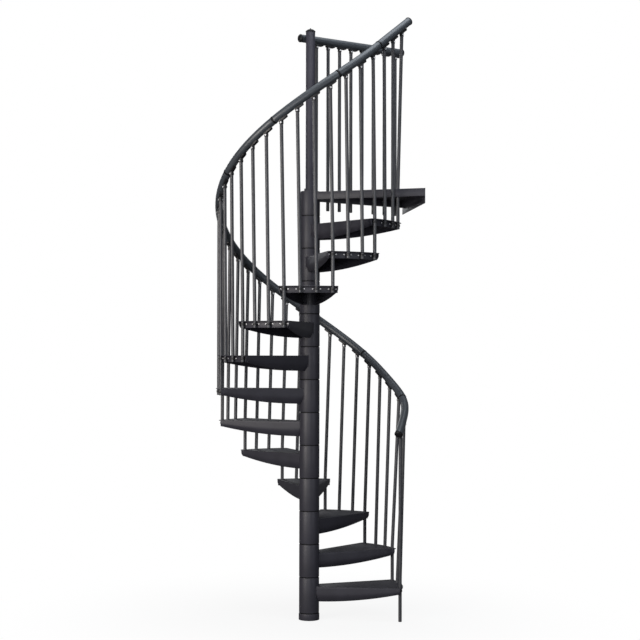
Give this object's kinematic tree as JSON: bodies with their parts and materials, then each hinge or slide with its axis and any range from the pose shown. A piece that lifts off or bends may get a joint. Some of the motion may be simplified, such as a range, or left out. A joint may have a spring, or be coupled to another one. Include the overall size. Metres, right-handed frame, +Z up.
{
  "type": "spiral staircase",
  "caption": "Steel spiral staircase with wedge treads on a central column, helical handrail on slim balusters, and a wedge landing with a straight guard.",
  "frame": {"origin": "centre of the underside of the base plate, on the column's axis", "axes": "+Z up along the column; +X towards the first tread and the landing; the stair turns anticlockwise going up, seen from above"},
  "size_m": [1.3306, 1.2212, 3.8206],
  "materials": {
    "tread_steel": "satin charcoal powder coat",
    "column_steel": "satin charcoal powder coat",
    "baluster_steel": "satin grey powder coat",
    "clamp_steel": "satin black",
    "handrail_plastic": "soft gloss blue-grey",
    "black_plastic": "matte black"
  },
  "bodies": {
    "root": {"base_plate": "tread_steel", "base_cover": "tread_steel", "centre_pole": "column_steel", "spacer_rings": "black_plastic", "pole_collar": "tread_steel", "pole_cap": "black_plastic", "tread_01": "tread_steel", "tread_02": "tread_steel", "tread_03": "tread_steel", "tread_04": "tread_steel", "tread_05": "tread_steel", "tread_06": "tread_steel", "tread_07": "tread_steel", "tread_08": "tread_steel", "tread_09": "tread_steel", "tread_10": "tread_steel", "tread_11": "tread_steel", "tread_12": "tread_steel", "landing": "tread_steel", "balusters_1": "baluster_steel", "balusters_2": "baluster_steel", "balusters_3": "baluster_steel", "balusters_4": "baluster_steel", "balusters_5": "baluster_steel", "balusters_6": "baluster_steel", "baluster_clamps": "clamp_steel", "handrail_01": "handrail_plastic", "handrail_02": "handrail_plastic", "handrail_03": "handrail_plastic", "handrail_04": "handrail_plastic", "handrail_05": "handrail_plastic", "handrail_06": "handrail_plastic", "handrail_07": "handrail_plastic", "handrail_08": "handrail_plastic", "handrail_09": "handrail_plastic", "handrail_10": "handrail_plastic", "rail_collars": "black_plastic", "rail_end_caps": "black_plastic", "rail_brackets": "black_plastic", "guard_rail": "handrail_plastic", "guard_balusters": "baluster_steel", "guard_brackets": "black_plastic", "guard_end_caps": "black_plastic", "guard_clamps": "clamp_steel"}
  },
  "joints": []
}
